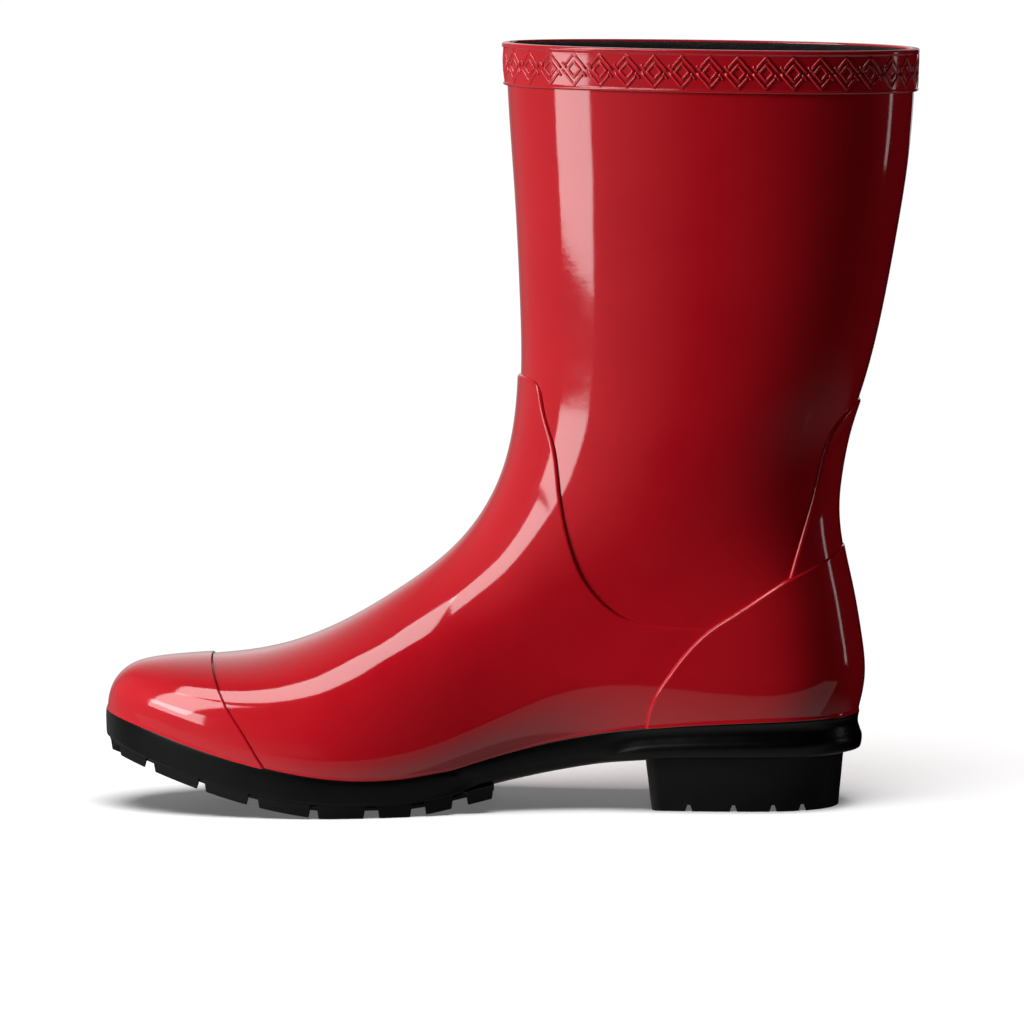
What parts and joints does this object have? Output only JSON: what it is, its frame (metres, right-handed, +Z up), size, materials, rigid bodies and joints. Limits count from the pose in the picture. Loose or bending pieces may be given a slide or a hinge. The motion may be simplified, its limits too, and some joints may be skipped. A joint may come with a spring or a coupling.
{
  "type": "rain boot",
  "caption": "Short pull-on rubber rain boot for the right foot, with overlaid toe cap, vamp, heel counter and back stay, a block heel, a lugged sole, a knit lining and a removable footbed.",
  "frame": {"origin": "on the floor, under the middle of the boot's box", "axes": "+X from the toe towards the heel, +Y towards the outer (lateral) side of the foot, +Z up"},
  "size_m": [0.296, 0.0962, 0.2783],
  "materials": {
    "leg_shell": "glossy red PVC",
    "foot_shell": "glossy red PVC",
    "vamp_overlay": "glossy red PVC",
    "toe_cap": "glossy red PVC",
    "heel_counter": "glossy red PVC",
    "back_stay": "glossy red PVC",
    "top_band": "glossy red PVC with a raised geometric frieze",
    "outsole": "satin black rubber",
    "forefoot_tread": "satin black rubber",
    "heel_block": "satin black rubber",
    "toe_puff": "stiffened fibre",
    "heel_stiffener": "stiffened fibre",
    "foot_lining": "black plush knit",
    "leg_lining": "black plush knit",
    "midsole_filler": "cork",
    "shank": "spring steel",
    "insole_board": "fibre board",
    "footbed": "dark foam",
    "footbed_cover": "black fleece"
  },
  "bodies": {
    "boot": {"leg_shell": "leg_shell", "foot_shell": "foot_shell", "vamp_overlay": "vamp_overlay", "toe_cap": "toe_cap", "heel_counter": "heel_counter", "back_stay": "back_stay", "top_band": "top_band", "outsole": "outsole", "forefoot_tread": "forefoot_tread", "heel_block": "heel_block", "toe_puff": "toe_puff", "heel_stiffener": "heel_stiffener", "foot_lining": "foot_lining", "leg_lining": "leg_lining", "midsole_filler": "midsole_filler", "shank": "shank", "insole_board": "insole_board"},
    "footbed": {"footbed": "footbed", "footbed_cover": "footbed_cover"}
  },
  "joints": [
    {"name": "footbed_lift", "type": "hinge", "parent": "boot", "child": "footbed", "pos_m": [-0.1384, 0, 0.0305], "axis": [0, -1, 0], "range_deg": [0, 8]}
  ]
}
